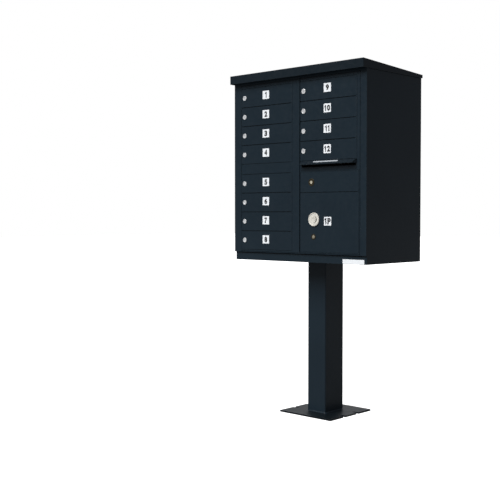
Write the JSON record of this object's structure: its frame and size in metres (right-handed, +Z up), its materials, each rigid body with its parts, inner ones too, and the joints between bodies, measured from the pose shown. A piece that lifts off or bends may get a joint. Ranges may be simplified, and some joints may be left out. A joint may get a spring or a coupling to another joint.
{
  "type": "cluster mailbox unit",
  "caption": "Pedestal-mounted mail cabinet with locked tenant doors, an outgoing mail slot and a parcel locker behind two hinged loading doors.",
  "frame": {"origin": "on the ground under the centre of the pedestal's base plate", "axes": "+X along the front from left to right as seen from the front, +Y from the front to the back, +Z up"},
  "size_m": [0.778, 0.4465, 1.575],
  "materials": {
    "cabinet_paint": "satin powder coat, very dark blue-green, almost black",
    "door_paint": "satin powder coat, very dark blue-green, almost black",
    "pedestal_paint": "satin powder coat, very dark blue-green, almost black",
    "rack_aluminium": "mill-finish sheet",
    "hinge_steel": "zinc plated",
    "lock_steel": "satin nickel plate",
    "lock_brass": "worn cast brass",
    "label_white": "white vinyl label",
    "label_ink": "printed black"
  },
  "bodies": {
    "root": {"cabinet_wrap": "cabinet_paint", "roof_cap": "cabinet_paint", "floor_pan": "cabinet_paint", "front_frame": "cabinet_paint", "left_master_hinge_pin": "hinge_steel", "right_master_hinge_pin": "hinge_steel", "compartment_rack_left_lower": "rack_aluminium", "compartment_rack_left_upper": "rack_aluminium", "compartment_rack_right_lower": "rack_aluminium", "compartment_rack_right_upper": "rack_aluminium", "blank_placard": "label_white", "pedestal_tube": "pedestal_paint", "pedestal_base_plate": "pedestal_paint", "pedestal_top_plate": "pedestal_paint", "pedestal_bolt_1": "hinge_steel", "pedestal_bolt_2": "hinge_steel", "pedestal_bolt_3": "hinge_steel", "pedestal_bolt_4": "hinge_steel"},
    "left_master": {"left_master_frame": "door_paint", "left_master_stile": "door_paint", "left_filler_panel": "door_paint", "left_door_rod": "hinge_steel"},
    "left_latch": {"left_master_latch": "hinge_steel"},
    "right_master": {"right_master_frame": "door_paint", "right_door_rod": "hinge_steel", "lower_door_rod": "hinge_steel", "mail_slot_panel": "door_paint", "mail_slot_hood": "door_paint"},
    "door_01": {"tenant_door_01": "door_paint"},
    "lock_01": {"tenant_lock_01": "lock_steel"},
    "door_02": {"tenant_door_02": "door_paint"},
    "lock_02": {"tenant_lock_02": "lock_steel"},
    "door_03": {"tenant_door_03": "door_paint"},
    "lock_03": {"tenant_lock_03": "lock_steel"},
    "door_04": {"tenant_door_04": "door_paint"},
    "lock_04": {"tenant_lock_04": "lock_steel"},
    "door_05": {"tenant_door_05": "door_paint"},
    "lock_05": {"tenant_lock_05": "lock_steel"},
    "door_06": {"tenant_door_06": "door_paint"},
    "lock_06": {"tenant_lock_06": "lock_steel"},
    "door_07": {"tenant_door_07": "door_paint"},
    "lock_07": {"tenant_lock_07": "lock_steel"},
    "door_08": {"tenant_door_08": "door_paint"},
    "lock_08": {"tenant_lock_08": "lock_steel"},
    "door_09": {"tenant_door_09": "door_paint"},
    "lock_09": {"tenant_lock_09": "lock_steel"},
    "door_10": {"tenant_door_10": "door_paint"},
    "lock_10": {"tenant_lock_10": "lock_steel"},
    "door_11": {"tenant_door_11": "door_paint"},
    "lock_11": {"tenant_lock_11": "lock_steel"},
    "door_12": {"tenant_door_12": "door_paint"},
    "lock_12": {"tenant_lock_12": "lock_steel"},
    "outgoing_door": {"outgoing_mail_door": "door_paint", "arrow_lock_housing": "lock_brass"},
    "arrow_plug": {"arrow_lock_plug": "lock_brass"},
    "arrow_bolt": {"arrow_lock_bolt": "lock_steel"},
    "parcel_door": {"parcel_door": "door_paint", "parcel_lock_housing": "lock_steel"},
    "parcel_plug": {"parcel_lock_plug": "lock_steel"},
    "control_plug": {"parcel_control_lock": "lock_steel"}
  },
  "joints": [
    {"name": "left_master_swing", "type": "hinge", "parent": "root", "child": "left_master", "pos_m": [-0.342, -0.2088, 1.139], "axis": [0, 0, -1], "range_deg": [0, 95]},
    {"name": "right_master_swing", "type": "hinge", "parent": "root", "child": "right_master", "pos_m": [0.354, -0.2088, 1.139], "axis": [0, 0, 1], "range_deg": [0, 95]},
    {"name": "door_01_swing", "type": "hinge", "parent": "left_master", "child": "door_01", "pos_m": [-0.0295, -0.2065, 1.46875], "axis": [0, 0, 1], "range_deg": [0, 90]},
    {"name": "door_02_swing", "type": "hinge", "parent": "left_master", "child": "door_02", "pos_m": [-0.0295, -0.2065, 1.38025], "axis": [0, 0, 1], "range_deg": [0, 90]},
    {"name": "door_03_swing", "type": "hinge", "parent": "left_master", "child": "door_03", "pos_m": [-0.0295, -0.2065, 1.29175], "axis": [0, 0, 1], "range_deg": [0, 90]},
    {"name": "door_04_swing", "type": "hinge", "parent": "left_master", "child": "door_04", "pos_m": [-0.0295, -0.2065, 1.20325], "axis": [0, 0, 1], "range_deg": [0, 90]},
    {"name": "door_05_swing", "type": "hinge", "parent": "left_master", "child": "door_05", "pos_m": [-0.0295, -0.2065, 1.06775], "axis": [0, 0, 1], "range_deg": [0, 90]},
    {"name": "door_06_swing", "type": "hinge", "parent": "left_master", "child": "door_06", "pos_m": [-0.0295, -0.2065, 0.97925], "axis": [0, 0, 1], "range_deg": [0, 90]},
    {"name": "door_07_swing", "type": "hinge", "parent": "left_master", "child": "door_07", "pos_m": [-0.0295, -0.2065, 0.89075], "axis": [0, 0, 1], "range_deg": [0, 90]},
    {"name": "door_08_swing", "type": "hinge", "parent": "left_master", "child": "door_08", "pos_m": [-0.0295, -0.2065, 0.80225], "axis": [0, 0, 1], "range_deg": [0, 90]},
    {"name": "door_09_swing", "type": "hinge", "parent": "right_master", "child": "door_09", "pos_m": [0.3315, -0.2065, 1.46875], "axis": [0, 0, 1], "range_deg": [0, 90]},
    {"name": "door_10_swing", "type": "hinge", "parent": "right_master", "child": "door_10", "pos_m": [0.3315, -0.2065, 1.38025], "axis": [0, 0, 1], "range_deg": [0, 90]},
    {"name": "door_11_swing", "type": "hinge", "parent": "right_master", "child": "door_11", "pos_m": [0.3315, -0.2065, 1.29175], "axis": [0, 0, 1], "range_deg": [0, 90]},
    {"name": "door_12_swing", "type": "hinge", "parent": "right_master", "child": "door_12", "pos_m": [0.3315, -0.2065, 1.20325], "axis": [0, 0, 1], "range_deg": [0, 90]},
    {"name": "outgoing_door_swing", "type": "hinge", "parent": "right_master", "child": "outgoing_door", "pos_m": [0.343, -0.2065, 1.066], "axis": [0, 0, 1], "range_deg": [0, 90]},
    {"name": "parcel_door_swing", "type": "hinge", "parent": "right_master", "child": "parcel_door", "pos_m": [0.343, -0.2065, 0.88785], "axis": [0, 0, 1], "range_deg": [0, 90]},
    {"name": "arrow_lock_turn", "type": "hinge", "parent": "outgoing_door", "child": "arrow_plug", "pos_m": [0.087, -0.212, 1.0645], "axis": [0, 1, 0], "range_deg": [0, 90]},
    {"name": "arrow_bolt_slide", "type": "slide", "parent": "outgoing_door", "child": "arrow_bolt", "axis": [-1, 0, 0], "range_m": [0, 0.03]},
    {"name": "parcel_lock_turn", "type": "hinge", "parent": "parcel_door", "child": "parcel_plug", "pos_m": [0.1035, -0.211, 0.9004], "axis": [0, -1, 0], "range_deg": [0, 90]},
    {"name": "control_lock_turn", "type": "hinge", "parent": "parcel_door", "child": "control_plug", "pos_m": [0.1, -0.211, 0.824], "axis": [0, 1, 0], "range_deg": [0, 90]},
    {"name": "left_latch_slide", "type": "slide", "parent": "left_master", "child": "left_latch", "axis": [0, 0, -1], "range_m": [0, 0.012]},
    {"name": "lock_01_turn", "type": "hinge", "parent": "door_01", "child": "lock_01", "pos_m": [-0.32, -0.211, 1.46875], "axis": [0, 1, 0], "range_deg": [0, 90]},
    {"name": "lock_02_turn", "type": "hinge", "parent": "door_02", "child": "lock_02", "pos_m": [-0.32, -0.211, 1.38025], "axis": [0, 1, 0], "range_deg": [0, 90]},
    {"name": "lock_03_turn", "type": "hinge", "parent": "door_03", "child": "lock_03", "pos_m": [-0.32, -0.211, 1.29175], "axis": [0, 1, 0], "range_deg": [0, 90]},
    {"name": "lock_04_turn", "type": "hinge", "parent": "door_04", "child": "lock_04", "pos_m": [-0.32, -0.211, 1.20325], "axis": [0, 1, 0], "range_deg": [0, 90]},
    {"name": "lock_05_turn", "type": "hinge", "parent": "door_05", "child": "lock_05", "pos_m": [-0.32, -0.211, 1.06775], "axis": [0, 1, 0], "range_deg": [0, 90]},
    {"name": "lock_06_turn", "type": "hinge", "parent": "door_06", "child": "lock_06", "pos_m": [-0.32, -0.211, 0.97925], "axis": [0, 1, 0], "range_deg": [0, 90]},
    {"name": "lock_07_turn", "type": "hinge", "parent": "door_07", "child": "lock_07", "pos_m": [-0.32, -0.211, 0.89075], "axis": [0, 1, 0], "range_deg": [0, 90]},
    {"name": "lock_08_turn", "type": "hinge", "parent": "door_08", "child": "lock_08", "pos_m": [-0.32, -0.211, 0.80225], "axis": [0, 1, 0], "range_deg": [0, 90]},
    {"name": "lock_09_turn", "type": "hinge", "parent": "door_09", "child": "lock_09", "pos_m": [0.041, -0.211, 1.46875], "axis": [0, 1, 0], "range_deg": [0, 90]},
    {"name": "lock_10_turn", "type": "hinge", "parent": "door_10", "child": "lock_10", "pos_m": [0.041, -0.211, 1.38025], "axis": [0, 1, 0], "range_deg": [0, 90]},
    {"name": "lock_11_turn", "type": "hinge", "parent": "door_11", "child": "lock_11", "pos_m": [0.041, -0.211, 1.29175], "axis": [0, 1, 0], "range_deg": [0, 90]},
    {"name": "lock_12_turn", "type": "hinge", "parent": "door_12", "child": "lock_12", "pos_m": [0.041, -0.211, 1.20325], "axis": [0, 1, 0], "range_deg": [0, 90]}
  ],
  "couplings": [
    {"joint": "arrow_bolt_slide", "follows": "arrow_lock_turn", "m_per_rad": 0.019}
  ]
}
